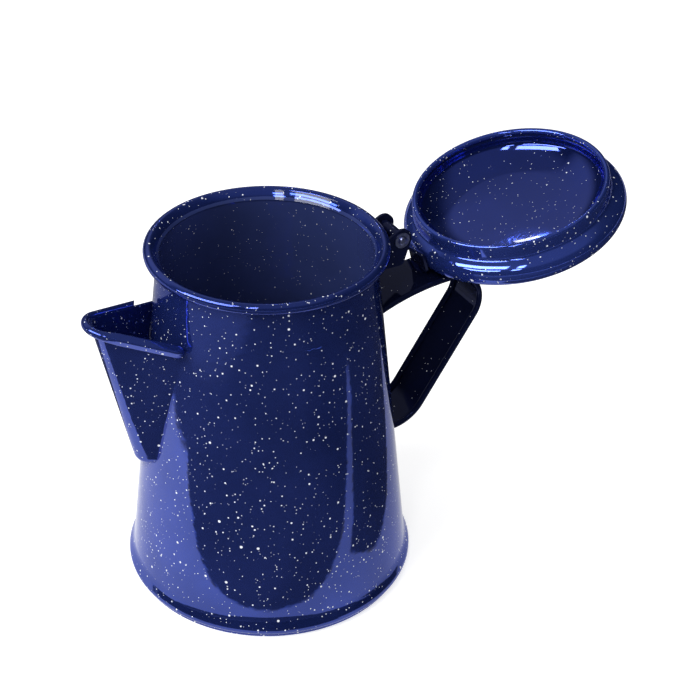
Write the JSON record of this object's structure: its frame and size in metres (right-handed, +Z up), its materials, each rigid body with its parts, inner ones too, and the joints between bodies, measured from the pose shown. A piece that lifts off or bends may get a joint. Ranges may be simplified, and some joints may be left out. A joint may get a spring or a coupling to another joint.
{
  "type": "coffee pot",
  "caption": "Enamelled steel coffee pot with a flared skirt, rolled rim, trough spout with hemmed edge, strap handle and domed hinged lid shown thrown back.",
  "frame": {"origin": "centre of the base on the surface the pot stands on", "axes": "+Z up along the pot's axis, +X towards the handle, the spout on the -X side turned 5 degrees towards +Y, the hinge pin along Y"},
  "size_m": [0.2352, 0.1202, 0.1582],
  "materials": {
    "enamel_blue": "glossy vitreous enamel with fine white speckles on sheet steel",
    "enamel_dark": "glossy near-black blue enamel with few speckles",
    "rivet_steel": "dull bare steel"
  },
  "bodies": {
    "pot": {"body_shell": "enamel_blue", "base_pan": "enamel_blue", "spout": "enamel_blue", "handle_strap": "enamel_dark", "hinge_bracket": "enamel_dark", "hinge_pin": "rivet_steel", "pin_washers": "rivet_steel"},
    "lid": {"lid_shell": "enamel_blue", "lid_liner": "enamel_blue", "hinge_leaf": "enamel_dark", "knob": "enamel_blue"}
  },
  "joints": [
    {"name": "lid_hinge", "type": "hinge", "parent": "pot", "child": "lid", "pos_m": [0.0561, 0, 0.14], "axis": [0, 1, 0], "range_deg": [-165, 0]}
  ]
}
